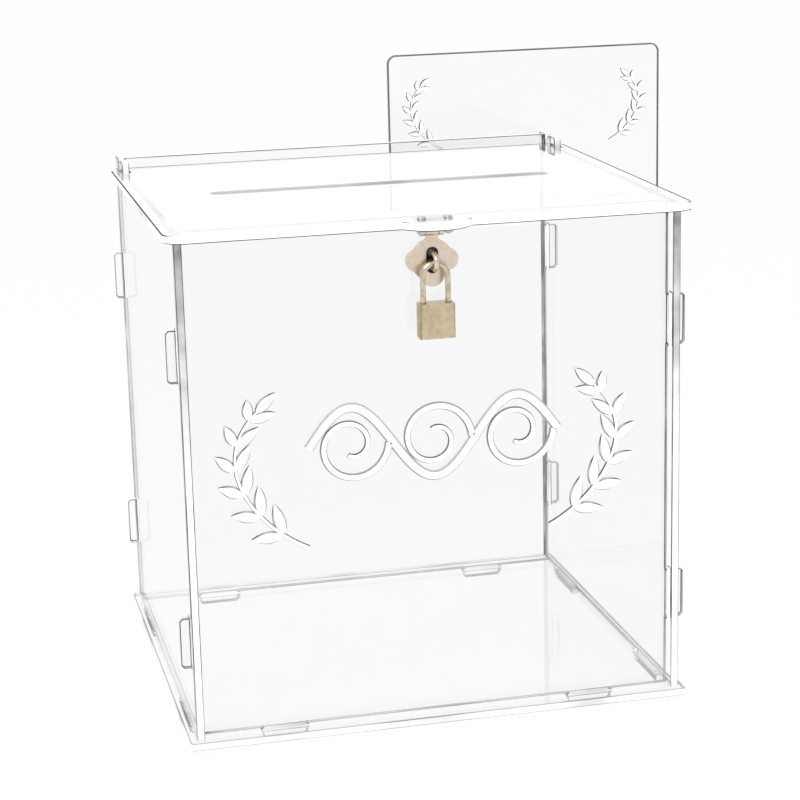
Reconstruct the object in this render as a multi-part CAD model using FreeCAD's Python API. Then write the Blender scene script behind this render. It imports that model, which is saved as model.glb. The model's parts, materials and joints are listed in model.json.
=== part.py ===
import FreeCAD, Part
import math
import os
from FreeCAD import Vector

os.makedirs("parts", exist_ok=True)

# Driving dimensions, in mm. The box is centred on X and Y and its feet stand on Z = 0.
sheet = 4.0
box_width = 250.0
box_depth = 226.0
foot_height = 4.0
wall_height = 249.0
wall_inset = 7.0
base_overhang_x = 3.5
base_overhang_y = 3.5
base_corner_radius = 2.0
slot_clearance = 0.1
moving_clearance = 0.3

side_tab_length = 26.0
side_tab_reach = 5.0
side_tab_low = 43.5
side_tab_high = 187.5
tab_chamfer = 1.5
foot_tab_length = 23.0
foot_tab_inner = 68.0
side_foot_length = 35.0
side_foot_from_edge = 24.0

lid_overhang_side = 5.0
lid_overhang_front = 8.0
lid_corner_radius = 10.0
rail_rise = 5.25
post_length = 14.0
post_behind_gap = 2.6
post_slot_front = 2.0
post_slot_rear = 1.5
card_slot_length = 180.0
card_slot_width = 10.0
card_slot_end_radius = 4.99
card_slot_y = -4.0
tongue_width = 34.0
tongue_reach = 9.0

hasp_size = 26.0
hasp_thickness = 1.5
hasp_gap = 2.0
hasp_drop = 17.5
hasp_slot_width = 6.0
hasp_slot_height = 13.0
plate_core_radius = 10.4
top_lobe_radius = 6.7
top_lobe_rise = 4.4
side_lobe_radius = 5.6
bottom_lobe_radius = 6.0
leaf_width = 19.0
leaf_length = 13.0
leaf_behind = 0.5
knuckle_width = 12.0
barrel_radius = 1.9
barrel_half = 3.0
barrel_forward = 0.2
pin_radius = 0.9
pin_fit = 0.05
screw_radius = 1.1
screw_head_radius = 2.2
screw_head_height = 1.2
screw_head_round = 0.7
screw_hole_clearance = 0.15
screw_end = 0.6
screw_spacing = 13.0
screw_setback = 5.0
nut_height = 1.6
screw_nut_radius = 2.4
staple_nut_radius = 2.6
thread_fit = 0.05

staple_wire = 1.25
staple_half_height = 3.6
staple_straight = 8.0
staple_end = 1.0
backing_width = 9.0
backing_height = 16.0

shackle_wire = 1.4
shackle_half_width = 6.2
shackle_rise = 20.5
shackle_ahead = 0.5
hole_end_room = 1.0
lock_width = 17.5
lock_height = 17.0
lock_thickness = 9.0
lock_edge_radius = 1.5
heel_depth = 13.5
toe_depth = 5.0
plug_radius = 3.2
plug_length = 9.0
plug_end_room = 0.4
keyway_width = 1.0
keyway_height = 4.4
keyway_floor = 2.0

ornament_thickness = 1.2
branch_bottom = 100.0
branch_inset = 16.0
branch_width = 44.5
branch_height = 71.5
branch_shift = -3.0
stem_width = 2.4
stem_tip_width = 1.44
inner_leaf = 18.0
outer_leaf = 18.0
tip_leaf = 14.4
tip_breadth = 6.12
leaf_breadth = 6.8
leaf_pairs = 6
first_leaf_share = 0.15
leaf_span_share = 0.78
inner_shrink = 0.22
outer_shrink = 0.42
breadth_shrink = 0.15
inner_splay = 37.24
outer_splay = 41.25
scroll_level = 150.0
scroll_pitch = 42.0
scroll_radius = 19.0
scroll_eye = 5.0
wave_width = 5.06
spiral_start_width = 4.14
spiral_eye_width = 2.53
spiral_turns = 1.3
sign_width = 163.0
sign_height = 92.0
sign_thickness = 3.0
sign_beyond_side = 70.0
sign_above_rail = 47.75
sign_gap = 1.0
sign_corner_radius = 5.0
sign_branch_ratio = 0.52
sign_branch_margin = 8.0
sign_branch_drop = 55.0
channel_width = 76.0
channel_height = 24.0
channel_floor = 8.0
channel_wall = 3.6
channel_from_side = 5.0

# Derived levels and faces.
half_width = box_width / 2
half_depth = box_depth / 2
inner_half = half_width - sheet
base_top = foot_height + sheet
wall_top = base_top + wall_height
lid_top = wall_top + sheet
front_face = -half_depth + wall_inset
front_inner = front_face + sheet
back_inner = half_depth - wall_inset - sheet
back_face = half_depth - wall_inset
lid_rear = back_inner - moving_clearance
hinge_y = lid_rear - sheet / 2
hinge_z = wall_top + sheet / 2
lid_front = -half_depth - lid_overhang_front
lid_half = half_width + lid_overhang_side
post_rear = hinge_y - post_behind_gap
foot_tab_reach = sheet + foot_height
sign_left = half_width + sign_beyond_side - sign_width
sign_top = lid_top + rail_rise + sign_above_rail


def edge_points(start, end, tabs, reach):
    # Walks one edge of a panel and steps outward, to its right, round each chamfered tab.
    direction = Vector(end[0] - start[0], end[1] - start[1], 0)
    direction.normalize()
    outward = Vector(direction.y, -direction.x, 0)
    origin = Vector(start[0], start[1], 0)
    points = [origin]
    for near, far in tabs:
        for along, out in (
            (near, 0),
            (near, reach - tab_chamfer),
            (near + tab_chamfer, reach),
            (far - tab_chamfer, reach),
            (far, reach - tab_chamfer),
            (far, 0),
        ):
            points.append(origin + direction * along + outward * out)
    return points


def upright_x(points, y_near, thickness):
    # Panel facing Y: outline points are (x, z).
    outline = [Vector(p.x, y_near, p.y) for p in points]
    face = Part.Face(Part.makePolygon(outline + outline[:1]))
    return face.extrude(Vector(0, thickness, 0))


def upright_y(points, x_near, thickness):
    # Panel facing X: outline points are (y, z).
    outline = [Vector(x_near, p.x, p.y) for p in points]
    face = Part.Face(Part.makePolygon(outline + outline[:1]))
    return face.extrude(Vector(thickness, 0, 0))


def block(x0, x1, y0, y1, z0, z1):
    return Part.makeBox(x1 - x0, y1 - y0, z1 - z0, Vector(x0, y0, z0))


def rod(radius, start, direction, length):
    return Part.makeCylinder(radius, length, start, direction)


def rounded_prism(x0, x1, y0, y1, z0, z1, radius):
    body = block(x0, x1, y0, y1, z0, z1)
    uprights = [e for e in body.Edges if abs(e.Vertexes[0].Z - e.Vertexes[1].Z) > 0.5 * (z1 - z0)]
    return body.makeFillet(radius, uprights)


axis_x = Vector(1, 0, 0)
axis_y = Vector(0, 1, 0)
axis_z = Vector(0, 0, 1)
side_levels = [(low, low + side_tab_length) for low in (side_tab_low, side_tab_high)]
foot_tab_outer = foot_tab_inner + foot_tab_length
foot_spans = [(-foot_tab_outer, -foot_tab_inner), (foot_tab_inner, foot_tab_outer)]
side_foot_spans = [
    (-half_depth + side_foot_from_edge, -half_depth + side_foot_from_edge + side_foot_length),
    (half_depth - side_foot_from_edge - side_foot_length, half_depth - side_foot_from_edge),
]


def cross_panel(y_near, top):
    # Front or back panel with two foot tabs below and two tabs at each side.
    reach = sheet + side_tab_reach
    bottom = edge_points((-inner_half, base_top), (inner_half, base_top),
                         [(a + inner_half, b + inner_half) for a, b in foot_spans], foot_tab_reach)
    right = edge_points((inner_half, base_top), (inner_half, top),
                        [(a - base_top, b - base_top) for a, b in side_levels], reach)
    upper = edge_points((inner_half, top), (-inner_half, top), [], reach)
    left = edge_points((-inner_half, top), (-inner_half, base_top),
                       [(top - b, top - a) for a, b in reversed(side_levels)], reach)
    return upright_x(bottom + right + upper + left, y_near, sheet)


def side_panel(x_near):
    # Side panel with two foot tabs, a rear post and horn above, and slots for the cross panels' tabs.
    bottom = edge_points((-half_depth, base_top), (half_depth, base_top),
                         [(a + half_depth, b + half_depth) for a, b in side_foot_spans], foot_tab_reach)
    rear = edge_points((half_depth, base_top), (half_depth, wall_top), [], sheet)
    upper = edge_points((half_depth, wall_top), (-half_depth, wall_top),
                        [(half_depth - post_rear, half_depth - post_rear + post_length)], sheet + rail_rise)
    front = edge_points((-half_depth, wall_top), (-half_depth, base_top), [], sheet)
    panel = upright_y(bottom + rear + upper + front, x_near, sheet)
    for y_near in (front_face, back_inner):
        for low, high in side_levels:
            panel = panel.cut(block(x_near - sheet, x_near + 2 * sheet,
                                    y_near - slot_clearance, y_near + sheet + slot_clearance,
                                    low - slot_clearance, high + slot_clearance))
    horn = block(x_near, x_near + sheet, back_inner, half_depth, wall_top - sheet, lid_top + rail_rise)
    return panel.fuse(horn).removeSplitter()


def base_plate():
    # Floor of the box with slots for every wall's foot tabs.
    plate = rounded_prism(-half_width - base_overhang_x, half_width + base_overhang_x,
                          -half_depth - base_overhang_y, half_depth + base_overhang_y,
                          foot_height, base_top, base_corner_radius)
    for y_near in (front_face, back_inner):
        for near, far in foot_spans:
            plate = plate.cut(block(near - slot_clearance, far + slot_clearance, y_near - slot_clearance,
                                    y_near + sheet + slot_clearance, 0, base_top + sheet))
    for x_near in (-half_width, inner_half):
        for near, far in side_foot_spans:
            plate = plate.cut(block(x_near - slot_clearance, x_near + sheet + slot_clearance,
                                    near - slot_clearance, far + slot_clearance, 0, base_top + sheet))
    return plate


# Lock parts hang on the front panel's middle line.
plate_back = front_face - hasp_gap
plate_front = plate_back - hasp_thickness
hasp_z = wall_top - hasp_drop
barrel_y = plate_back - hasp_thickness / 2 - barrel_forward
leaf_under = wall_top - hasp_thickness
barrel_z = leaf_under - barrel_radius - moving_clearance
staple_crown_y = front_face - staple_straight
shackle_y = staple_crown_y - shackle_ahead
shackle_z = hasp_z - staple_half_height + staple_wire + shackle_wire + moving_clearance
lock_top = shackle_z + shackle_wire - shackle_rise
lock_bottom = lock_top - lock_height
screw_y = lid_front + screw_setback
screw_places = [-screw_spacing / 2, screw_spacing / 2]


def lid():
    # Flat lid with a rounded rear edge that turns against the back panel, a card slot and a front tongue.
    sheet_body = block(-lid_half, lid_half, lid_front, hinge_y, wall_top, lid_top)
    rear_round = rod(sheet / 2, Vector(-lid_half, hinge_y, hinge_z), axis_x, 2 * lid_half)
    cut_low = wall_top - sheet
    cut_high = lid_top + sheet
    outline = rounded_prism(-lid_half, lid_half, lid_front, lid_rear, cut_low, cut_high, lid_corner_radius)
    body = sheet_body.fuse(rear_round).common(outline)
    tongue_radius = ((tongue_width / 2) ** 2 + tongue_reach ** 2) / (2 * tongue_reach)
    tongue = rod(tongue_radius, Vector(0, lid_front - tongue_reach + tongue_radius, wall_top), axis_z, sheet)
    tongue = tongue.common(block(-tongue_width, tongue_width, lid_front - 2 * tongue_reach, lid_front + sheet,
                                 wall_top, lid_top))
    body = body.fuse(tongue)
    slot_end = card_slot_width / 2
    body = body.cut(rounded_prism(-card_slot_length / 2, card_slot_length / 2, card_slot_y - slot_end,
                                  card_slot_y + slot_end, cut_low, cut_high, card_slot_end_radius))
    for x_near in (-half_width, inner_half):
        body = body.cut(block(x_near - moving_clearance, x_near + sheet + moving_clearance,
                              post_rear - post_length - post_slot_front, post_rear + post_slot_rear,
                              cut_low, cut_high))
    for x in screw_places:
        screw_hole = rod(screw_radius + screw_hole_clearance, Vector(x, screw_y, cut_low), axis_z, 3 * sheet)
        body = body.cut(screw_hole)
    return body.removeSplitter()


def hasp_top_leaf():
    # Leaf screwed under the tongue, ending in two outer barrels of the knuckle.
    half_leaf = leaf_width / 2
    leaf_rear = plate_back + leaf_behind
    leaf = block(-half_leaf, half_leaf, leaf_rear - leaf_length, leaf_rear, leaf_under, wall_top)
    inner_end = barrel_half + moving_clearance
    length = knuckle_width / 2 - inner_end
    for near in (-knuckle_width / 2, inner_end):
        barrel = rod(barrel_radius, Vector(near, barrel_y, barrel_z), axis_x, length)
        web = block(near, near + length, barrel_y - barrel_radius, barrel_y + barrel_radius, barrel_z, wall_top)
        leaf = leaf.fuse(barrel).fuse(web)
    leaf = leaf.cut(rod(pin_radius + pin_fit, Vector(-half_leaf, barrel_y, barrel_z), axis_x, leaf_width))
    for x in screw_places:
        hole_low = Vector(x, screw_y, leaf_under - hasp_thickness)
        leaf = leaf.cut(rod(screw_radius + slot_clearance, hole_low, axis_z, 3 * hasp_thickness))
    return leaf.removeSplitter()


def hasp_pin():
    return rod(pin_radius, Vector(-knuckle_width / 2, barrel_y, barrel_z), axis_x, knuckle_width)


def hasp_plate():
    # Round plate with four shallow lobes and a slot for the staple, hung from the knuckle's middle barrel.
    reach = hasp_size / 2
    side_x = reach - side_lobe_radius
    lobes = [
        (top_lobe_radius, 0, hasp_z + top_lobe_rise),
        (side_lobe_radius, -side_x, hasp_z),
        (side_lobe_radius, side_x, hasp_z),
        (bottom_lobe_radius, 0, hasp_z - reach + bottom_lobe_radius),
    ]
    body = rod(plate_core_radius, Vector(0, plate_front, hasp_z), axis_y, hasp_thickness)
    for radius, x, z in lobes:
        body = body.fuse(rod(radius, Vector(x, plate_front, z), axis_y, hasp_thickness))
    neck = block(-barrel_half, barrel_half, plate_front, plate_back, hasp_z + top_lobe_rise, barrel_z)
    body = body.fuse(neck)
    body = body.fuse(rod(barrel_radius, Vector(-barrel_half, barrel_y, barrel_z), axis_x, 2 * barrel_half))
    half_slot = hasp_slot_width / 2
    straight = hasp_slot_height / 2 - half_slot
    cut_front = plate_front - hasp_thickness
    slot = block(-half_slot, half_slot, cut_front, plate_back + hasp_thickness,
                 hasp_z - straight, hasp_z + straight)
    for z in (hasp_z - straight, hasp_z + straight):
        slot = slot.fuse(rod(half_slot, Vector(0, cut_front, z), axis_y, 3 * hasp_thickness))
    body = body.cut(slot)
    body = body.cut(rod(pin_radius + moving_clearance, Vector(-2 * barrel_half, barrel_y, barrel_z), axis_x,
                        4 * barrel_half))
    return body.removeSplitter()


def hasp_screw(x):
    shank_low = leaf_under - nut_height - screw_end
    shank = rod(screw_radius, Vector(x, screw_y, shank_low), axis_z, lid_top - shank_low)
    head = rod(screw_head_radius, Vector(x, screw_y, lid_top), axis_z, screw_head_height)
    rim = [e for e in head.Edges if e.BoundBox.ZMin > lid_top + screw_head_height / 2]
    head = head.makeFillet(screw_head_round, rim)
    return shank.fuse(head).removeSplitter()


def hex_nut(bore, across, centre, axis, height):
    # Six-sided nut round a threaded shank.
    points = []
    for step in range(7):
        angle = math.radians(60 * step)
        points.append(Vector(across * math.cos(angle), across * math.sin(angle), 0))
    nut = Part.Face(Part.makePolygon(points)).extrude(Vector(0, 0, height))
    nut = nut.cut(rod(bore, Vector(0, 0, -height), axis_z, 3 * height))
    nut.Placement = FreeCAD.Placement(centre, FreeCAD.Rotation(axis_z, axis))
    return nut


def staple():
    # Bent wire eye whose two legs pass through the front panel.
    inner_end = front_inner + hasp_thickness + nut_height + staple_end
    start = Vector(0, inner_end, hasp_z + staple_half_height)
    path_top = Part.makeLine(start,
                             Vector(0, staple_crown_y, hasp_z + staple_half_height))
    bend = Part.Arc(Vector(0, staple_crown_y, hasp_z + staple_half_height),
                    Vector(0, staple_crown_y - staple_half_height, hasp_z),
                    Vector(0, staple_crown_y, hasp_z - staple_half_height)).toShape()
    path_low = Part.makeLine(Vector(0, staple_crown_y, hasp_z - staple_half_height),
                             Vector(0, inner_end, hasp_z - staple_half_height))
    profile = Part.Wire(Part.makeCircle(staple_wire, start, axis_y))
    return Part.Wire([path_top, bend, path_low]).makePipeShell([profile], True, False)


def staple_backing():
    plate = block(-backing_width / 2, backing_width / 2, front_inner, front_inner + hasp_thickness,
                  hasp_z - backing_height / 2, hasp_z + backing_height / 2)
    for dz in (-staple_half_height, staple_half_height):
        hole = rod(staple_wire + slot_clearance, Vector(0, front_face, hasp_z + dz), axis_y, 2 * sheet)
        plate = plate.cut(hole)
    return plate


def padlock_shackle():
    # Long heel leg on the left, short toe leg on the right, joined by a half-round crown.
    crown_z = shackle_z - shackle_half_width
    heel_end = Vector(-shackle_half_width, shackle_y, lock_top - heel_depth)
    heel = Part.makeLine(heel_end, Vector(-shackle_half_width, shackle_y, crown_z))
    bend = Part.Arc(Vector(-shackle_half_width, shackle_y, crown_z), Vector(0, shackle_y, shackle_z),
                    Vector(shackle_half_width, shackle_y, crown_z)).toShape()
    toe = Part.makeLine(Vector(shackle_half_width, shackle_y, crown_z),
                        Vector(shackle_half_width, shackle_y, lock_top - toe_depth))
    profile = Part.Wire(Part.makeCircle(shackle_wire, heel_end, axis_z))
    return Part.Wire([heel, bend, toe]).makePipeShell([profile], True, False)


def padlock_body():
    half = lock_thickness / 2
    body = rounded_prism(-lock_width / 2, lock_width / 2, shackle_y - half, shackle_y + half,
                         lock_bottom, lock_top, lock_edge_radius)
    for x, depth in ((-shackle_half_width, heel_depth), (shackle_half_width, toe_depth)):
        hole_floor = Vector(x, shackle_y, lock_top - depth - hole_end_room)
        body = body.cut(rod(shackle_wire + moving_clearance, hole_floor, axis_z, 2 * depth))
    plug_bore = rod(plug_radius + moving_clearance, Vector(0, shackle_y, lock_bottom), axis_z,
                    plug_length + plug_end_room)
    return body.cut(plug_bore)


def padlock_plug():
    plug = rod(plug_radius, Vector(0, shackle_y, lock_bottom), axis_z, plug_length)
    keyway = block(-keyway_width / 2, keyway_width / 2,
                   shackle_y - keyway_height / 2, shackle_y + keyway_height / 2,
                   lock_bottom, lock_bottom + plug_length - keyway_floor)
    return plug.cut(keyway)


def curve_point(controls, along):
    # Point on a cubic curve through its four control points.
    rest = 1 - along
    weights = (rest ** 3, 3 * rest * rest * along, 3 * rest * along * along, along ** 3)
    x = sum(w * c[0] for w, c in zip(weights, controls))
    z = sum(w * c[1] for w, c in zip(weights, controls))
    return Vector(x, z, 0)


def strip(points, width_start, width_end, y_near, thickness):
    # Flat strip that follows a row of points and changes width along it.
    left_side = []
    right_side = []
    last = len(points) - 1
    for index, centre in enumerate(points):
        ahead = points[min(last, index + 1)] - points[max(0, index - 1)]
        ahead.normalize()
        across = Vector(-ahead.y, ahead.x, 0)
        half = (width_start + (width_end - width_start) * index / last) / 2
        left_side.append(centre + across * half)
        right_side.append(centre - across * half)
    return upright_x(left_side + right_side[::-1], y_near, thickness)


def leaf(centre, angle, length, width, y_near, thickness):
    # Pointed leaf made of two arcs, starting at its stalk end.
    tip = Vector(length, 0, 0)
    upper = Part.Arc(Vector(0, 0, 0), Vector(length * 0.45, width / 2, 0), tip).toShape()
    lower = Part.Arc(tip, Vector(length * 0.45, -width / 2, 0), Vector(0, 0, 0)).toShape()
    shape = Part.Face(Part.Wire([upper, lower])).extrude(Vector(0, 0, thickness))
    shape.rotate(Vector(0, 0, 0), axis_z, math.degrees(angle))
    shape.rotate(Vector(0, 0, 0), axis_x, 90)
    shape.translate(Vector(centre.x, y_near + thickness, centre.y))
    return shape


def laurel(controls, ratio, outer_turn, y_near, thickness):
    # One laurel branch: a tapering stem, leaves in pairs and one leaf at its tip.
    stem = [curve_point(controls, step / 20) for step in range(21)]
    solid = strip(stem, stem_width * ratio, stem_tip_width * ratio, y_near, thickness)
    inner_angle = math.radians(inner_splay) * outer_turn
    outer_angle = math.radians(outer_splay) * outer_turn
    for pair in range(leaf_pairs):
        along = first_leaf_share + leaf_span_share * pair / (leaf_pairs - 1)
        centre = curve_point(controls, along)
        ahead = curve_point(controls, along + 0.01) - curve_point(controls, along - 0.01)
        heading = math.atan2(ahead.y, ahead.x)
        inner_length = inner_leaf * ratio * (1 - inner_shrink * along)
        outer_length = outer_leaf * ratio * (1 - outer_shrink * along)
        breadth = leaf_breadth * ratio * (1 - breadth_shrink * along)
        solid = solid.fuse(leaf(centre, heading - inner_angle, inner_length, breadth, y_near, thickness))
        solid = solid.fuse(leaf(centre, heading + outer_angle, outer_length, breadth, y_near, thickness))
    ahead = curve_point(controls, 1.0) - curve_point(controls, 0.95)
    heading = math.atan2(ahead.y, ahead.x)
    tip = leaf(curve_point(controls, 0.98), heading, tip_leaf * ratio, tip_breadth * ratio, y_near, thickness)
    return solid.fuse(tip).removeSplitter()


def mirrored(controls, middle):
    return [(2 * middle - x, z) for x, z in controls]


def branch(left, bottom, ratio):
    # Stem of a left-hand branch that starts at its lower right end and bends round to its tip.
    bends = [(1.0, 0.0), (0.366, 0.194), (-0.115, 0.667), (0.494, 1.0)]
    wide = branch_width * ratio
    tall = branch_height * ratio
    return [(left + x * wide, bottom + z * tall) for x, z in bends]


ornament_y = front_face - ornament_thickness
left_branch = branch(-half_width + branch_inset, branch_bottom, 1.0)
right_branch = mirrored(left_branch, branch_shift)
sign_y = half_depth + sign_gap
sign_middle = sign_left + sign_width / 2
sign_ornament_y = sign_y - ornament_thickness
sign_branch = branch(sign_left + sign_branch_margin, sign_top - sign_branch_drop, sign_branch_ratio)


def centre_flourish():
    # Running scroll: one wave, with a spiral curling into each of its three bays.
    wave = []
    for step in range(49):
        x = scroll_pitch * (-1.5 + 3.0 * step / 48)
        wave.append(Vector(x, scroll_level - scroll_radius * math.cos(math.pi * x / scroll_pitch), 0))
    solid = strip(wave, wave_width, wave_width, ornament_y, ornament_thickness)
    for bay, turn in ((-1, -1), (0, 1), (1, -1)):
        spiral = []
        for step in range(43):
            along = step / 42
            radius = scroll_radius + (scroll_eye - scroll_radius) * along
            angle = turn * 2 * math.pi * spiral_turns * along
            spiral.append(Vector(bay * scroll_pitch + radius * math.cos(angle),
                                 scroll_level + radius * math.sin(angle), 0))
        curl = strip(spiral, spiral_start_width, spiral_eye_width, ornament_y, ornament_thickness)
        solid = solid.fuse(curl)
    return solid.removeSplitter()


def sign_plate():
    right = sign_left + sign_width
    plate = block(sign_left, right, sign_y, sign_y + sign_thickness, sign_top - sign_height, sign_top)
    corners = [e for e in plate.Edges
               if e.BoundBox.YLength > sign_thickness / 2 and e.BoundBox.ZMin > sign_top - sign_corner_radius]
    corners = [e for e in corners if e.BoundBox.XLength < sign_thickness]
    return plate.makeFillet(sign_corner_radius, corners)


def sign_channel():
    # Grooved bar on the back panel that carries the sign's lower edge.
    far = inner_half - channel_from_side
    near = far - channel_width
    groove_front = sign_y - moving_clearance
    groove_back = sign_y + sign_thickness + moving_clearance
    groove_floor = sign_top - sign_height
    bar = block(near, far, back_face, groove_back + channel_wall, groove_floor - channel_floor,
                groove_floor - channel_floor + channel_height)
    groove = block(near, far, groove_front, groove_back, groove_floor, groove_floor + channel_height)
    return bar.cut(groove)


staple_holes = [rod(staple_wire + slot_clearance, Vector(0, front_face - sheet, hasp_z + dz), axis_y, 3 * sheet)
                for dz in (-staple_half_height, staple_half_height)]
front_panel = cross_panel(front_face, wall_top)
for hole in staple_holes:
    front_panel = front_panel.cut(hole)

nodes = {
    "base_plate": base_plate(),
    "front_panel": front_panel,
    "back_panel": cross_panel(back_inner, lid_top + rail_rise),
    "left_panel": side_panel(-half_width),
    "right_panel": side_panel(inner_half),
    "lid": lid(),
    "left_laurel": laurel(left_branch, 1.0, 1, ornament_y, ornament_thickness),
    "right_laurel": laurel(right_branch, 1.0, -1, ornament_y, ornament_thickness),
    "centre_flourish": centre_flourish(),
    "hasp_top_leaf": hasp_top_leaf(),
    "hasp_pin": hasp_pin(),
    "hasp_plate": hasp_plate(),
    "hasp_screws": Part.makeCompound([hasp_screw(x) for x in screw_places]),
    "hasp_nuts": Part.makeCompound([
        hex_nut(screw_radius + thread_fit, screw_nut_radius, Vector(x, screw_y, leaf_under - nut_height),
                axis_z, nut_height)
        for x in screw_places]),
    "staple": staple(),
    "staple_backing": staple_backing(),
    "staple_nuts": Part.makeCompound([
        hex_nut(staple_wire + thread_fit, staple_nut_radius,
                Vector(0, front_inner + hasp_thickness, hasp_z + dz), axis_y, nut_height)
        for dz in (-staple_half_height, staple_half_height)]),
    "padlock_shackle": padlock_shackle(),
    "padlock_body": padlock_body(),
    "padlock_plug": padlock_plug(),
    "sign_plate": sign_plate(),
    "sign_left_laurel": laurel(sign_branch, sign_branch_ratio, 1, sign_ornament_y, ornament_thickness),
    "sign_right_laurel": laurel(mirrored(sign_branch, sign_middle), sign_branch_ratio, -1, sign_ornament_y,
                                ornament_thickness),
    "sign_channel": sign_channel(),
}

# The finished frame has its origin at the middle of the whole assembly's footprint, on the floor.
whole = Part.makeCompound(list(nodes.values())).optimalBoundingBox()
shift = Vector(-(whole.XMin + whole.XMax) / 2, -(whole.YMin + whole.YMax) / 2, -whole.ZMin)
for name, shape in nodes.items():
    shape.translate(shift)
    shape.exportStep(os.path.join("parts", name + ".step"))
    print(name, len(shape.Solids), shape.isValid(), round(shape.Volume, 1))
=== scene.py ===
import json
import math
import bpy
import bmesh
from mathutils import Matrix, Vector


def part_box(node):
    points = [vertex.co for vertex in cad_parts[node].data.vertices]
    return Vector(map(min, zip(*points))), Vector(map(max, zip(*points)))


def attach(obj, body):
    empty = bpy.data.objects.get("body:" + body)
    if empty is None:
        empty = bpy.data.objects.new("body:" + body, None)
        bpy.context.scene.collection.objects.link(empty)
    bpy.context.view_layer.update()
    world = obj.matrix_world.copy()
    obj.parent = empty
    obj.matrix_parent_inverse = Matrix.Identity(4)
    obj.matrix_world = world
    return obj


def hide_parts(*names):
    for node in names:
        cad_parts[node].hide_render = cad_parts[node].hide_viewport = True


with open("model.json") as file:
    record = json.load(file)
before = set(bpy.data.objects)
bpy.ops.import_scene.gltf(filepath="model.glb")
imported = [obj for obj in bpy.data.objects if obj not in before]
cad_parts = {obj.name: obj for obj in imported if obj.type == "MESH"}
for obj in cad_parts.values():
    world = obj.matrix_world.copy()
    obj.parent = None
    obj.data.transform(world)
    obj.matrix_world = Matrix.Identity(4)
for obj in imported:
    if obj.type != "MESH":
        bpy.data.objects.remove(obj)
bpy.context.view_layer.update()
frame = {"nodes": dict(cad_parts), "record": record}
nodes = frame["nodes"]
frontLow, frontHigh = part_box("front_panel")
signLow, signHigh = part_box("sign_plate")
lidLow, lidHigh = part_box("lid")
midX = (frontLow[0] + frontHigh[0]) / 2
lidUnder = lidLow[2]
lidTop = lidHigh[2]
print("frame loaded:", len(nodes), "nodes")

coolTint = 0.005    # extra blue in the darker greys


def grey(level):
    return (level, level, level, 1)


def coolGrey(level):
    return (level, level, level + coolTint, 1)


def setInputs(node, values):
    for socket, value in values.items():
        node.inputs[socket].default_value = value


def newMaterial(name, values):
    material = bpy.data.materials.new(name)
    material.use_nodes = True
    tree = material.node_tree
    shader = tree.nodes["Principled BSDF"]
    setInputs(shader, values)
    return material, tree, shader


def addMath(tree, operation, *sources):
    node = tree.nodes.new("ShaderNodeMath")
    node.operation = operation
    for socket, source in zip(node.inputs, sources):
        if isinstance(source, bpy.types.NodeSocket):
            tree.links.new(source, socket)
        else:
            socket.default_value = source
    return node.outputs["Value"]


def addRange(tree, source, low, high):
    # Runs from 0 at the low value to 1 at the high one.
    node = tree.nodes.new("ShaderNodeMapRange")
    setInputs(node, {"From Min": low, "From Max": high})
    tree.links.new(source, node.inputs["Value"])
    return node.outputs["Result"]


def addRamp(tree, source, low, high):
    # Each end of the ramp is a position and a colour.
    node = tree.nodes.new("ShaderNodeValToRGB")
    for element, (position, colour) in zip(node.color_ramp.elements, (low, high)):
        element.position = position
        element.color = colour
    tree.links.new(source, node.inputs["Fac"])
    return node.outputs["Color"]


def addNoise(tree, scale, detail):
    coordinate = tree.nodes.new("ShaderNodeTexCoord")
    node = tree.nodes.new("ShaderNodeTexNoise")
    setInputs(node, {"Scale": scale, "Detail": detail})
    tree.links.new(coordinate.outputs["Object"], node.inputs["Vector"])
    return node.outputs["Fac"]


def splitAxes(tree, source):
    node = tree.nodes.new("ShaderNodeSeparateXYZ")
    tree.links.new(source, node.inputs["Vector"])
    return node.outputs


def mixShaders(tree, factor, first, second):
    # The second shader shows where the factor is 1.
    node = tree.nodes.new("ShaderNodeMixShader")
    for socket, source in zip(node.inputs, (factor, first, second)):
        tree.links.new(source, socket)
    tree.links.new(node.outputs["Shader"], tree.nodes["Material Output"].inputs["Surface"])


grainDetail = 4.0


def grainGroup():
    # Shared fine surface unevenness: noise as a value and as a bumped normal.
    group = bpy.data.node_groups.new("surfaceGrain", "ShaderNodeTree")
    for name in ("Scale", "Strength", "Distance"):
        group.interface.new_socket(name, in_out="INPUT", socket_type="NodeSocketFloat")
    group.interface.new_socket("Fac", in_out="OUTPUT", socket_type="NodeSocketFloat")
    group.interface.new_socket("Normal", in_out="OUTPUT", socket_type="NodeSocketVector")
    entry = group.nodes.new("NodeGroupInput")
    leave = group.nodes.new("NodeGroupOutput")
    coordinate = group.nodes.new("ShaderNodeTexCoord")
    noise = group.nodes.new("ShaderNodeTexNoise")
    noise.inputs["Detail"].default_value = grainDetail
    bump = group.nodes.new("ShaderNodeBump")
    group.links.new(coordinate.outputs["Object"], noise.inputs["Vector"])
    group.links.new(entry.outputs["Scale"], noise.inputs["Scale"])
    group.links.new(entry.outputs["Strength"], bump.inputs["Strength"])
    group.links.new(entry.outputs["Distance"], bump.inputs["Distance"])
    group.links.new(noise.outputs["Fac"], bump.inputs["Height"])
    group.links.new(noise.outputs["Fac"], leave.inputs["Fac"])
    group.links.new(bump.outputs["Normal"], leave.inputs["Normal"])
    return group


surfaceGrain = grainGroup()


def fineGrain(tree, shader, look):
    grain = tree.nodes.new("ShaderNodeGroup")
    grain.node_tree = surfaceGrain
    setInputs(grain, look)
    tree.links.new(grain.outputs["Normal"], shader.inputs["Normal"])
    return grain.outputs["Fac"]


clearLook = {"tint": grey(0.965), "shadow": grey(0.97), "roughness": 0.01,
             "grain": {"Scale": 60.0, "Strength": 0.012, "Distance": 0.0004}}


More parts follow.
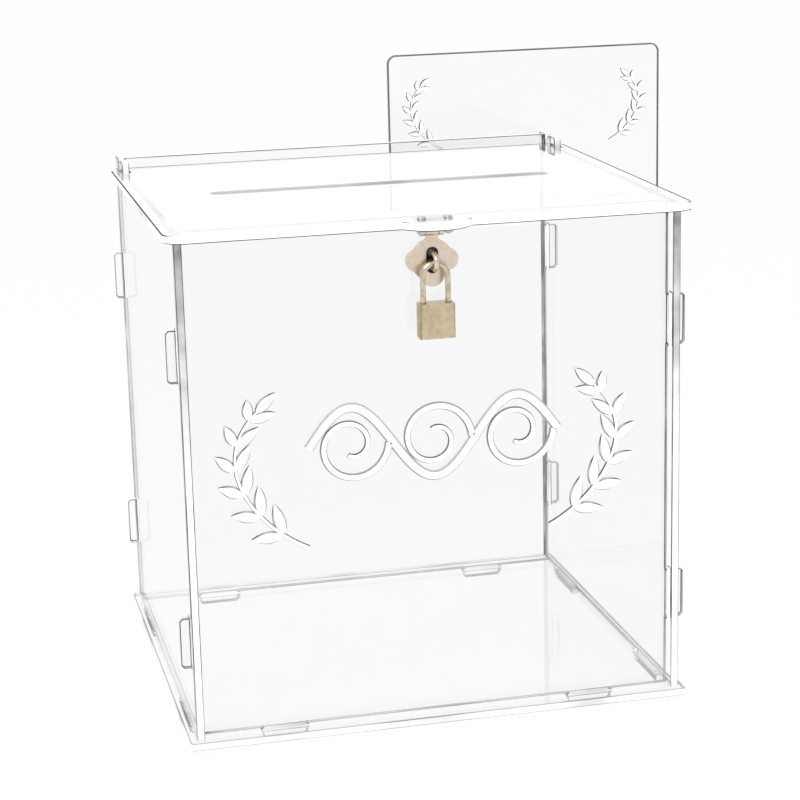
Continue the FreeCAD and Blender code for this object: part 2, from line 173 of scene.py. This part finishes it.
def clearMaterial(name, bend, coat):
    # Clear sheet that bends light and throws only a faint shadow.
    material, tree, shader = newMaterial(name, {"Base Color": clearLook["tint"],
                                                "Roughness": clearLook["roughness"],
                                                "IOR": bend,
                                                "Transmission Weight": 1.0,
                                                "Coat Weight": coat})
    fineGrain(tree, shader, clearLook["grain"])
    lightPath = tree.nodes.new("ShaderNodeLightPath")
    seeThrough = tree.nodes.new("ShaderNodeBsdfTransparent")
    setInputs(seeThrough, {"Color": clearLook["shadow"]})
    mixShaders(tree, lightPath.outputs["Is Shadow Ray"], shader.outputs["BSDF"], seeThrough.outputs["BSDF"])
    return material


filmLook = {"tint": grey(0.95), "roughness": 0.12, "cover": 0.1,
            "grain": {"Scale": 60.0, "Strength": 0.02, "Distance": 0.0004}}


def filmMaterial(name, look):
    # Thin clear moulding that is hardly seen from the front.
    material, tree, shader = newMaterial(name, {"Base Color": look["tint"],
                                                "Roughness": look["roughness"],
                                                "Alpha": look["cover"]})
    fineGrain(tree, shader, look["grain"])
    return material


metalLook = {"streaksEnd": 0.3, "plainStart": 0.62, "grain": {"Strength": 0.05, "Distance": 0.0002}}


def metalMaterial(name, colour, streaks, roughness, scale):
    material, tree, shader = newMaterial(name, {"Metallic": 1.0, "Roughness": roughness})
    noise = fineGrain(tree, shader, dict(metalLook["grain"], Scale=scale))
    tone = addRamp(tree, noise, (metalLook["streaksEnd"], streaks), (metalLook["plainStart"], colour))
    tree.links.new(tone, shader.inputs["Base Color"])
    return material


# The dark grey for sloped sides is painted shade; flat faces keep the plastic's white.
plasticLook = {"roughness": 0.35, "slopeShade": (0.35, coolGrey(0.06)), "flat": (0.93, grey(0.93)),
               "grain": {"Scale": 900.0, "Strength": 0.03, "Distance": 0.0001}}


def ornamentMaterial(name, look):
    # White plastic, front and back, with painted shade: its sloped sides are coloured dark grey by the way
    # they face, so they read as grey outlines.
    material, tree, shader = newMaterial(name, {"Roughness": look["roughness"]})
    geometry = tree.nodes.new("ShaderNodeNewGeometry")
    flatness = addMath(tree, "ABSOLUTE", splitAxes(tree, geometry.outputs["True Normal"])["Y"])
    tree.links.new(addRamp(tree, flatness, look["slopeShade"], look["flat"]), shader.inputs["Base Color"])
    fineGrain(tree, shader, look["grain"])
    return material


edgeLook = {"scale": 16.0, "detail": 2.0, "streaksEnd": 0.34, "plainStart": 0.47,
            "grain": {"Scale": 700.0, "Strength": 0.05, "Distance": 0.0001}}


def edgeMaterial(name, pale, streaks, roughness):
    # Cut edge of a clear sheet: frosted, with darker stretches.
    material, tree, shader = newMaterial(name, {"Roughness": roughness})
    noise = addNoise(tree, edgeLook["scale"], edgeLook["detail"])
    tone = addRamp(tree, noise, (edgeLook["streaksEnd"], streaks), (edgeLook["plainStart"], pale))
    tree.links.new(tone, shader.inputs["Base Color"])
    fineGrain(tree, shader, edgeLook["grain"])
    return material


fadeLook = {"roughness": 0.4, "scale": 45.0, "detail": 3.0, "paleEnd": 0.05, "darkStart": 0.6}


def fadingMaterial(name, start, end, pale, dark):
    # Turns from pale at the start height to dark at the end height, unevenly.
    material, tree, shader = newMaterial(name, {"Roughness": fadeLook["roughness"]})
    coordinate = tree.nodes.new("ShaderNodeTexCoord")
    rise = addRange(tree, splitAxes(tree, coordinate.outputs["Object"])["Z"], start, end)
    uneven = addMath(tree, "MULTIPLY", rise, addNoise(tree, fadeLook["scale"], fadeLook["detail"]))
    tone = addRamp(tree, uneven, (fadeLook["paleEnd"], pale), (fadeLook["darkStart"], dark))
    tree.links.new(tone, shader.inputs["Base Color"])
    fineGrain(tree, shader, edgeLook["grain"])
    return material


# Painted shade for the lid's broken corners, and painted light where they face up and to the front.
lidShadeLook = {"roughness": 0.6, "pale": (0.40, coolGrey(0.72)), "dark": (0.25, coolGrey(0.05))}


def lidLineMaterial(name, look):
    # Broken corners of the lid with painted shade: dark, but with a painted highlight along the front's
    # upper corner, which faces the light.
    material, tree, shader = newMaterial(name, {"Roughness": look["roughness"], "Specular IOR Level": 0.0})
    coordinate = tree.nodes.new("ShaderNodeTexCoord")
    facing = splitAxes(tree, coordinate.outputs["Normal"])
    litUpperFront = addMath(tree, "MULTIPLY", addMath(tree, "MULTIPLY", facing["Y"], facing["Z"]), -1.0)
    tree.links.new(addRamp(tree, litUpperFront, look["dark"], look["pale"]), shader.inputs["Base Color"])
    fineGrain(tree, shader, edgeLook["grain"])
    return material


# Index of refraction, low where mirror images have to stay faint, and strength of the clear coat.
clearFace = clearMaterial("clearFace", 1.49, 0.0)
quietFace = clearMaterial("quietFace", 1.1, 0.0)
baseFace = clearMaterial("baseFace", 1.22, 0.0)
lidFace = clearMaterial("lidFace", 1.49, 1.0)
holderClear = filmMaterial("holderClear", filmLook)
# Tone, streaks and roughness of cut edges and of their broken corners. The frosted cut edge is the sheet's
# own; the greys of the sign's edges, the slot's walls and the broken corners are painted shade for the dark
# look of clear edges.
cutEdge = edgeMaterial("cutEdge", grey(0.95), coolGrey(0.62), 0.4)
signShadeEdge = edgeMaterial("signShadeEdge", coolGrey(0.30), coolGrey(0.16), 0.4)
slotWallShade = edgeMaterial("slotWallShade", coolGrey(0.52), coolGrey(0.40), 0.5)
cutShadeLine = edgeMaterial("cutShadeLine", coolGrey(0.13), coolGrey(0.06), 0.6)
paleShadeLine = edgeMaterial("paleShadeLine", coolGrey(0.40), coolGrey(0.19), 0.6)
lidShadeLine = lidLineMaterial("lidShadeLine", lidShadeLook)
# Heights in metres between which an edge turns from its first tone to its second. The dark tones are painted
# shade: under the lid on the upright and rear edges, and above the base on the broken corners.
uprightShadeEdge = fadingMaterial("uprightShadeEdge", 0.10, 0.24, grey(0.93), coolGrey(0.16))
rearShadeEdge = fadingMaterial("rearShadeEdge", lidTop, lidUnder, grey(0.85), coolGrey(0.06))
wallShadeLine = fadingMaterial("wallShadeLine", 0.012, 0.05, coolGrey(0.44), coolGrey(0.05))
backShadeLine = fadingMaterial("backShadeLine", 0.012, 0.05, coolGrey(0.44), coolGrey(0.12))
ornamentWhiteShaded = ornamentMaterial("ornamentWhiteShaded", plasticLook)
# Colour, streaks, roughness and scale of the grain.
haspBrass = metalMaterial("haspBrass", (0.77, 0.66, 0.55, 1), (0.68, 0.56, 0.45, 1), 0.30, 420.0)
# A darker copy of the hasp's brass: painted shade for its softened edges.
haspRimShade = metalMaterial("haspRimShade", (0.40, 0.33, 0.26, 1), (0.28, 0.23, 0.18, 1), 0.35, 420.0)
lockBrass = metalMaterial("lockBrass", (0.66, 0.55, 0.38, 1), (0.52, 0.42, 0.27, 1), 0.28, 300.0)
# A darker copy of the padlock's brass: painted shade for its narrow sides and softened edges.
sideBrassShade = metalMaterial("sideBrassShade", (0.46, 0.40, 0.22, 1), (0.32, 0.27, 0.13, 1), 0.32, 300.0)
plugBrass = metalMaterial("plugBrass", (0.48, 0.35, 0.16, 1), (0.36, 0.26, 0.12, 1), 0.35, 300.0)
brightSteel = metalMaterial("brightSteel", (0.66, 0.60, 0.46, 1), (0.46, 0.41, 0.29, 1), 0.18, 500.0)
plainSteel = metalMaterial("plainSteel", (0.62, 0.61, 0.59, 1), (0.50, 0.49, 0.47, 1), 0.35, 500.0)
print("materials made")

mergeDistance = 0.00001
faceSlot, edgeSlot, lineSlot, specialSlot, uprightSlot = range(5)    # order of a sheet's materials
# Shares of a face's normal that lie along an axis: at least this much for a flat face, for one that
# faces that way and for one that leans that way, and less than the last for a wall.
flatShare = 0.999
facingShare = 0.9
leaningShare = 0.5
wallShare = 0.3


def linkObject(name, data):
    made = bpy.data.objects.new(name, data)
    bpy.context.scene.collection.objects.link(made)
    return made


def breakCorners(mesh, look):
    # Insets both broad faces and lowers their old rims, so each cut edge ends in a narrow sloped corner.
    axis = look["axis"]
    for side in (-1, 1):
        broad = [face for face in mesh.faces if face.normal[axis] * side > flatShare]
        ring = bmesh.ops.inset_region(mesh, faces=broad, thickness=look["width"], use_boundary=True,
                                      use_even_offset=True)["faces"]
        inner = {vert for face in broad for vert in face.verts}
        slopes = set(ring)
        for face in ring:
            isSpecial = look["pick"](face.calc_center_median(), face.normal) == specialSlot
            face.material_index = specialSlot if isSpecial else lineSlot
        rim = []
        for vert in {vert for face in ring for vert in face.verts} - inner:
            # A rounded edge keeps its line.
            if all(abs(face.normal[axis]) < wallShare for face in vert.link_faces if face not in slopes):
                rim.append(vert)
        drop = Vector()
        drop[axis] = -side * look["width"]
        bmesh.ops.translate(mesh, verts=rim, vec=drop)


def buildSheet(name, look):
    # Broad faces are clear, cut edges are frosted, and the narrow broken corners carry painted shade, so
    # they read as thin grey lines.
    mesh = bmesh.new()
    mesh.from_mesh(nodes[name].data)
    bmesh.ops.remove_doubles(mesh, verts=mesh.verts, dist=mergeDistance)
    for point, outward in look["cuts"]:
        bmesh.ops.bisect_plane(mesh, geom=mesh.verts[:] + mesh.edges[:] + mesh.faces[:], dist=mergeDistance,
                               plane_co=point, plane_no=outward)
    mesh.normal_update()
    for face in mesh.faces:
        face.smooth = False
        centre = face.calc_center_median()
        inStrip = any((centre - point).dot(outward) > 0 for point, outward in look["cuts"])
        isEdge = abs(face.normal[look["axis"]]) < flatShare or inStrip
        face.material_index = look["pick"](centre, face.normal) if isEdge else faceSlot
    breakCorners(mesh, look)
    data = bpy.data.meshes.new(look["piece"])
    mesh.to_mesh(data)
    mesh.free()
    for material in (look["face"], look["edge"], look["line"], look["special"], uprightShadeEdge):
        data.materials.append(material)
    piece = linkObject(look["piece"], data)
    piece.visible_glossy = look["mirrored"]
    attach(piece, look["body"])
    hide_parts(name)


openings = frame["record"]["physics"]["openings"]
slotBox = next(opening["box_m"] for opening in openings if opening["name"] == "card_slot")
# Margins in metres: past the ends and sides of the card slot, and of the dark rims at the rear and right,
# which carry painted shade.
lidLook = {"slotEnds": 0.0115, "slotSides": 0.0015, "rear": 0.0015, "right": 0.0013}
slotLow = (slotBox[0][0] - lidLook["slotEnds"], slotBox[0][1] - lidLook["slotSides"])
slotHigh = (slotBox[1][0] + lidLook["slotEnds"], slotBox[1][1] + lidLook["slotSides"])
rearStrip = lidHigh[1] - (lidTop - lidUnder) / 2 - lidLook["rear"]    # takes in the lid's rounded rear edge
rightStrip = lidHigh[0] - lidLook["right"]
lidCuts = ((Vector((0, rearStrip, 0)), Vector((0, 1, 0))), (Vector((rightStrip, 0, 0)), Vector((1, 0, 0))))
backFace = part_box("back_panel")[1][1]


def pickPlain(centre, normal):
    return edgeSlot


def pickLidEdges(centre, normal):
    # The card slot's walls carry grey painted shade, and the rear and right rims carry painted shade that
    # reads as dark lines.
    if slotLow[0] < centre.x < slotHigh[0] and slotLow[1] < centre.y < slotHigh[1]:
        return specialSlot
    if centre.y > rearStrip and abs(normal.x) < leaningShare:
        return lineSlot
    if centre.x > rightStrip and abs(normal.z) > facingShare:
        return lineSlot if normal.z > 0 else faceSlot
    return uprightSlot if centre.x > rightStrip else edgeSlot


def pickSideEdges(centre, normal):
    # Painted shade: front edges fade to grey under the lid, and rear edges are painted dark so that they
    # read dark through the sheet.
    if normal.y < -facingShare and centre.y < frontLow[1]:
        return uprightSlot
    return specialSlot if normal.y > facingShare and centre.y > backFace else edgeSlot


plainSheet = {"axis": 1, "face": clearFace, "edge": cutEdge, "line": wallShadeLine, "special": rearShadeEdge,
              "width": 0.0005, "mirrored": True, "pick": pickPlain, "body": "box", "cuts": ()}
sideSheet = dict(plainSheet, axis=0, face=quietFace, pick=pickSideEdges)
sheets = {"lid": dict(plainSheet, piece="lidSheet", axis=2, face=lidFace, line=lidShadeLine, special=slotWallShade,
                      pick=pickLidEdges, body="lid", cuts=lidCuts),
          "front_panel": dict(plainSheet, piece="frontSheet"),
          "back_panel": dict(plainSheet, piece="backSheet", face=quietFace, line=backShadeLine, mirrored=False),
          "left_panel": dict(sideSheet, piece="leftSheet"),
          "right_panel": dict(sideSheet, piece="rightSheet"),
          "base_plate": dict(plainSheet, piece="baseSheet", axis=2, face=baseFace, line=paleShadeLine),
          "sign_plate": dict(plainSheet, piece="signSheet", edge=signShadeEdge, line=cutShadeLine, width=0.0008,
                             mirrored=False, body="sign")}
for name, look in sheets.items():
    buildSheet(name, look)
print("sheets built")

softEdge = {"segments": 2, "angle": math.radians(50)}
rimSlot = 1    # second material of a metal piece


def dressMetal(name, material, bevel, rim):
    piece = nodes[name]
    piece.data.materials.clear()
    piece.data.materials.append(material)
    piece.data.materials.append(rim)
    if bevel > 0:
        weld = piece.modifiers.new("weld", "WELD")
        weld.merge_threshold = mergeDistance
        rounding = piece.modifiers.new("softEdge", "BEVEL")
        rounding.width = bevel
        rounding.segments = softEdge["segments"]
        rounding.limit_method = "ANGLE"
        rounding.angle_limit = softEdge["angle"]
        rounding.material = rimSlot


# Finish, width of the softened edges and the material of those edges, which for the hasp and the padlock
# body is a darker copy that paints shade.
metals = {"hasp_plate": (haspBrass, 0.0003, haspRimShade), "hasp_top_leaf": (haspBrass, 0.0002, haspRimShade),
          "staple": (haspBrass, 0.0, haspRimShade), "hasp_pin": (plainSteel, 0.0, plainSteel),
          "hasp_screws": (plainSteel, 0.0, plainSteel), "hasp_nuts": (plainSteel, 0.0, plainSteel),
          "staple_backing": (plainSteel, 0.0002, plainSteel), "staple_nuts": (plainSteel, 0.0, plainSteel),
          "padlock_body": (lockBrass, 0.0004, sideBrassShade), "padlock_plug": (plugBrass, 0.0001, plugBrass),
          "padlock_shackle": (brightSteel, 0.0, brightSteel)}
for name, (material, bevel, rim) in metals.items():
    dressMetal(name, material, bevel, rim)
# Painted shade: the padlock's narrow sides take the darker copy of its brass, so they are darker than its
# broad faces.
for polygon in nodes["padlock_body"].data.polygons:
    if abs(polygon.normal.x) > leaningShare:
        polygon.material_index = rimSlot
nodes["sign_channel"].data.materials.clear()
nodes["sign_channel"].data.materials.append(holderClear)
nodes["sign_channel"].visible_glossy = False
print("frame dressed")

glueGap = Vector((0, -0.00005, 0))    # thin glue film, which lets the white backs catch light
frontOrigin = Vector((midX, frontLow[1], 0))
signOrigin = Vector(((signLow[0] + signHigh[0]) / 2, signLow[1], 0))


def placeAt(centre, heading, half, height):
    # Frame of one cross-section: x across the strip, y into the sheet and z along the strip.
    return Matrix(((-heading.y * half, 0, heading.x, centre.x),
                   (0, height, 0, 0),
                   (heading.x * half, 0, heading.y, centre.y),
                   (0, 0, 0, 1)))


def drawAlong(mesh, section, places):
    # Extrudes a cross-section from place to place, and returns the two end faces.
    first = mesh.faces.new([mesh.verts.new(places[0] @ Vector(corner)) for corner in section])
    last = first
    for before, after in zip(places, places[1:]):
        grown = bmesh.ops.extrude_face_region(mesh, geom=[last, *last.edges])["geom"]
        last = next(part for part in grown if isinstance(part, bmesh.types.BMFace))
        bmesh.ops.transform(mesh, matrix=after @ before.inverted(), verts=last.verts[:])
    return first, last


ribbonLook = {"crest": 0.66}    # share of the width that is flat on top


def addRibbon(mesh, points, startWidth, endWidth, height):
    # Strip with sloped sides and a flat crest, on the plane y = 0 and standing towards -y.
    crest = ribbonLook["crest"]
    places = []
    end = len(points) - 1
    for index, centre in enumerate(points):
        heading = (points[min(end, index + 1)] - points[max(0, index - 1)]).normalized()
        half = (startWidth + (endWidth - startWidth) * index / end) / 2
        places.append(placeAt(centre, heading, half, height))
    drawAlong(mesh, ((-1, 0, 0), (-crest, -1, 0), (crest, -1, 0), (1, 0, 0)), places)


# Number of steps, shares of the width and height for crest and midrib, and powers that shape the outline.
leafLook = {"steps": 11, "crest": 0.72, "midrib": 0.86, "swell": 0.85, "blunt": 0.9}


def addLeaf(mesh, root, angle, length, width, height):
    # Pointed leaf with sloped sides, a raised blade and a shallow groove along its midrib.
    crest = leafLook["crest"]
    turn = Vector((math.cos(angle), math.sin(angle)))
    places = []
    for step in range(1, leafLook["steps"]):
        along = step / leafLook["steps"]
        half = width / 2 * math.sin(math.pi * along ** leafLook["swell"]) ** leafLook["blunt"]
        places.append(placeAt(root + turn * length * along, turn, half, height))
    section = ((-1, 0, 0), (-crest, -1, 0), (0, -leafLook["midrib"], 0), (crest, -1, 0), (1, 0, 0))
    for face, tip in zip(drawAlong(mesh, section, places), (root, root + turn * length)):
        point = bmesh.ops.poke(mesh, faces=[face])["verts"][0]
        point.co = (tip.x, 0, tip.y)


def finishOrnament(mesh, name, origin, body, node):
    bmesh.ops.recalc_face_normals(mesh, faces=mesh.faces)
    data = bpy.data.meshes.new(name)
    mesh.transform(Matrix.Translation(origin + glueGap))
    mesh.to_mesh(data)
    mesh.free()
    data.materials.append(ornamentWhiteShaded)
    piece = linkObject(name, data)
    piece.visible_glossy = False
    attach(piece, body)
    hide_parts(node)


# A branch in metres, from the panel's middle and the floor. Its bends are shares of its width and height.
branchLook = {"left": -0.109, "bottom": 0.100, "wide": 0.0445, "tall": 0.0715, "shift": -0.003, "ratio": 1.0,
              "bends": ((1.0, 0.0), (0.366, 0.194), (-0.115, 0.667), (0.494, 1.0)), "height": 0.0012,
              "stem": 0.0024, "stemTip": 0.6, "stemSteps": 28, "pairs": 6, "lowest": 0.15, "spread": 0.78,
              "leaf": 0.018, "breadth": 0.0068, "narrowing": 0.15}
signLook = dict(branchLook, left=-0.0735, bottom=0.259, shift=0.0, ratio=0.52)
# A pair's leaves: side of the stem, turn away from it in radians and shortening towards the tip.
leafSides = {"inner": (-1, 0.65, 0.22), "outer": (1, 0.72, 0.42)}
# The leaf at a branch's tip: where it sits and which way it faces, and its size as a share of the others.
endLeaf = {"along": 0.98, "facing": 0.99, "length": 0.8, "breadth": 0.9}
headingStep = 0.01    # stretch of the curve, either way, that gives its direction


def curvePoint(curve, along):
    rest = 1 - along
    weights = (rest ** 3, 3 * rest * rest * along, 3 * rest * along * along, along ** 3)
    return Vector([sum(weight * bend[axis] for weight, bend in zip(weights, curve)) for axis in (0, 1)])


def curveAngle(curve, along):
    ahead = curvePoint(curve, min(1, along + headingStep))
    heading = ahead - curvePoint(curve, max(0, along - headingStep))
    return math.atan2(heading.y, heading.x)


def branchCurve(look):
    wide = look["wide"] * look["ratio"]
    tall = look["tall"] * look["ratio"]
    return [(look["left"] + x * wide, look["bottom"] + z * tall) for x, z in look["bends"]]


def mirrorCurve(curve, middle):
    return [(2 * middle - x, z) for x, z in curve]


def buildLaurel(name, look, curve, outerTurn, origin, body, node):
    mesh = bmesh.new()
    height = look["height"]
    stem = look["stem"] * look["ratio"]
    length = look["leaf"] * look["ratio"]
    breadth = look["breadth"] * look["ratio"]
    stemPoints = [curvePoint(curve, step / look["stemSteps"]) for step in range(look["stemSteps"] + 1)]
    addRibbon(mesh, stemPoints, stem, stem * look["stemTip"], height)
    for pair in range(look["pairs"]):
        along = look["lowest"] + look["spread"] * pair / (look["pairs"] - 1)
        for side, turn, shortening in leafSides.values():
            addLeaf(mesh, curvePoint(curve, along), curveAngle(curve, along) + side * turn * outerTurn,
                    length * (1 - shortening * along), breadth * (1 - look["narrowing"] * along), height)
    addLeaf(mesh, curvePoint(curve, endLeaf["along"]), curveAngle(curve, endLeaf["facing"]),
            length * endLeaf["length"], breadth * endLeaf["breadth"], height)
    finishOrnament(mesh, name, origin, body, node)


branches = (("", branchLook, frontOrigin, "box"), ("sign_", signLook, signOrigin, "sign"))
for place, look, origin, body in branches:
    curve = branchCurve(look)
    opposite = mirrorCurve(curve, look["shift"])
    buildLaurel(place + "leftBranch", look, curve, 1, origin, body, place + "left_laurel")
    buildLaurel(place + "rightBranch", look, opposite, -1, origin, body, place + "right_laurel")
print("laurels built")

scrollLook = {"level": 0.150, "pitch": 0.042, "radius": 0.019, "eye": 0.005, "turns": 1.3, "width": 0.0046,
              "height": 0.0012, "wave": 1.1, "curl": 0.9, "curlEnd": 0.55, "waveSteps": 72, "curlSteps": 64}
bays = {-1: -1, 0: 1, 1: -1}    # place of each spiral and the way that it turns


def buildScroll(look):
    # Running scroll: one wave, with a spiral curling into each of its bays.
    mesh = bmesh.new()
    wave = []
    for step in range(look["waveSteps"] + 1):
        x = look["pitch"] * len(bays) * (step / look["waveSteps"] - 1 / 2)
        wave.append(Vector((x, look["level"] - look["radius"] * math.cos(math.pi * x / look["pitch"]))))
    addRibbon(mesh, wave, look["width"] * look["wave"], look["width"] * look["wave"], look["height"])
    for bay, turn in bays.items():
        middle = Vector((bay * look["pitch"], look["level"]))
        spiral = []
        for step in range(look["curlSteps"] + 1):
            along = step / look["curlSteps"]
            radius = look["radius"] + (look["eye"] - look["radius"]) * along
            angle = turn * look["turns"] * math.tau * along
            spiral.append(middle + radius * Vector((math.cos(angle), math.sin(angle))))
        addRibbon(mesh, spiral, look["width"] * look["curl"], look["width"] * look["curlEnd"],
                  look["height"])
    finishOrnament(mesh, "centreFlourish", frontOrigin, "box", "centre_flourish")


buildScroll(scrollLook)
print("flourish built")

scene = bpy.context.scene
scene.view_settings.view_transform = "Standard"
scene.view_settings.look = "None"
# Angles in degrees, the place and near limit in metres, and the focal length in pixels of the image.
view = {"yaw": 13.135, "pitch": 14.544, "roll": -1.417, "place": (-0.2928, -1.14485, 0.4486),
        "near": 0.05, "focal": 2271.7, "image": 800, "sensor": 36.0}


def placeCamera(view):
    yaw, pitch, roll = (math.radians(view[key]) for key in ("yaw", "pitch", "roll"))
    ahead = Vector((math.sin(yaw) * math.cos(pitch), math.cos(yaw) * math.cos(pitch), -math.sin(pitch)))
    level = Vector((math.cos(yaw), -math.sin(yaw), 0))
    upright = level.cross(ahead)
    sideways = level * math.cos(roll) + upright * math.sin(roll)
    upward = upright * math.cos(roll) - level * math.sin(roll)
    turned = Matrix((sideways, upward, -ahead)).transposed().to_4x4()
    cameraData = bpy.data.cameras.new("camera")
    cameraData.sensor_width = view["sensor"]
    cameraData.lens = view["focal"] / view["image"] * view["sensor"]
    cameraData.clip_start = view["near"]
    camera = linkObject("camera", cameraData)
    camera.matrix_world = Matrix.Translation(view["place"]) @ turned
    scene.camera = camera


placeCamera(view)
print("camera placed")

# Room that is white where it is seen and dims towards the front where it only lights.
# Reflections also meet a bright band behind the object.
roomLook = {"front": (0.0, grey(0.66)), "rest": (0.6, grey(1)), "seen": grey(1), "band": grey(1.2),
            "bandBehind": (0.45, 0.75), "bandAbove": (0.04, 0.16)}
colourA, colourB, colourOut = 6, 7, 2    # colour sockets of a Mix node


def mixColours(tree, factor, first, second):
    node = tree.nodes.new("ShaderNodeMix")
    node.data_type = "RGBA"
    node.inputs[colourB].default_value = second
    tree.links.new(factor, node.inputs["Factor"])
    tree.links.new(first, node.inputs[colourA])
    return node.outputs[colourOut]


def buildRoom(look):
    world = bpy.data.worlds.new("studio")
    world.use_nodes = True
    scene.world = world
    tree = world.node_tree
    rays = tree.nodes.new("ShaderNodeLightPath").outputs
    coordinate = tree.nodes.new("ShaderNodeTexCoord")
    toward = splitAxes(tree, coordinate.outputs["Generated"])
    room = addRamp(tree, addRange(tree, toward["Y"], -1.0, 1.0), look["front"], look["rest"])
    band = addMath(tree, "MULTIPLY", addRange(tree, toward["Y"], *look["bandBehind"]),
                   addRange(tree, toward["Z"], *look["bandAbove"]))
    shine = addMath(tree, "MULTIPLY", band, rays["Is Glossy Ray"])
    seen = addMath(tree, "MAXIMUM", rays["Is Camera Ray"], rays["Is Transmission Ray"])
    colour = mixColours(tree, seen, mixColours(tree, shine, room, look["band"]), look["seen"])
    background = tree.nodes["Background"]
    tree.links.new(colour, background.inputs["Color"])
    background.inputs["Strength"].default_value = 1.0


buildRoom(roomLook)

floorLook = {"half": 9.0, "tone": grey(0.9), "roughness": 0.9, "glow": grey(1), "white": 0.93}


def buildFloor(look):
    # Pale floor, white where it is seen and plain where it only lights, with the object's soft shadow on it.
    mesh = bmesh.new()
    bmesh.ops.create_grid(mesh, x_segments=1, y_segments=1, size=look["half"])
    data = bpy.data.meshes.new("floor")
    mesh.to_mesh(data)
    mesh.free()
    piece = linkObject("floor", data)
    material, tree, shader = newMaterial("paleFloor", {"Base Color": look["tone"],
                                                       "Roughness": look["roughness"]})
    glow = tree.nodes.new("ShaderNodeEmission")
    setInputs(glow, {"Color": look["glow"], "Strength": 1.0})
    rays = tree.nodes.new("ShaderNodeLightPath").outputs
    direct = addMath(tree, "MAXIMUM", rays["Is Camera Ray"], rays["Is Glossy Ray"])
    seen = addMath(tree, "MAXIMUM", direct, rays["Is Transmission Ray"])
    share = addMath(tree, "MULTIPLY", seen, look["white"])
    mixShaders(tree, share, shader.outputs["BSDF"], glow.outputs["Emission"])
    data.materials.append(material)


buildFloor(floorLook)

# The fill is hidden from reflections, so its square outline stays out of the sheets.
lights = {"key": {"place": (-0.7, -1.0, 1.3), "power": 14.0, "width": 0.8, "mirrored": True},
          "fill": {"place": (0.9, -0.9, 0.5), "power": 5.0, "width": 1.0, "mirrored": False}}
lightAim = Vector((midX, 0, 0.15))
for name, look in lights.items():
    lamp = bpy.data.lights.new(name, "AREA")
    lamp.energy = look["power"]
    lamp.size = look["width"]
    holder = linkObject(name, lamp)
    holder.location = look["place"]
    holder.rotation_euler = (lightAim - holder.location).to_track_quat("-Z", "Y").to_euler()
    holder.visible_glossy = look["mirrored"]
print("room, floor and lights set")
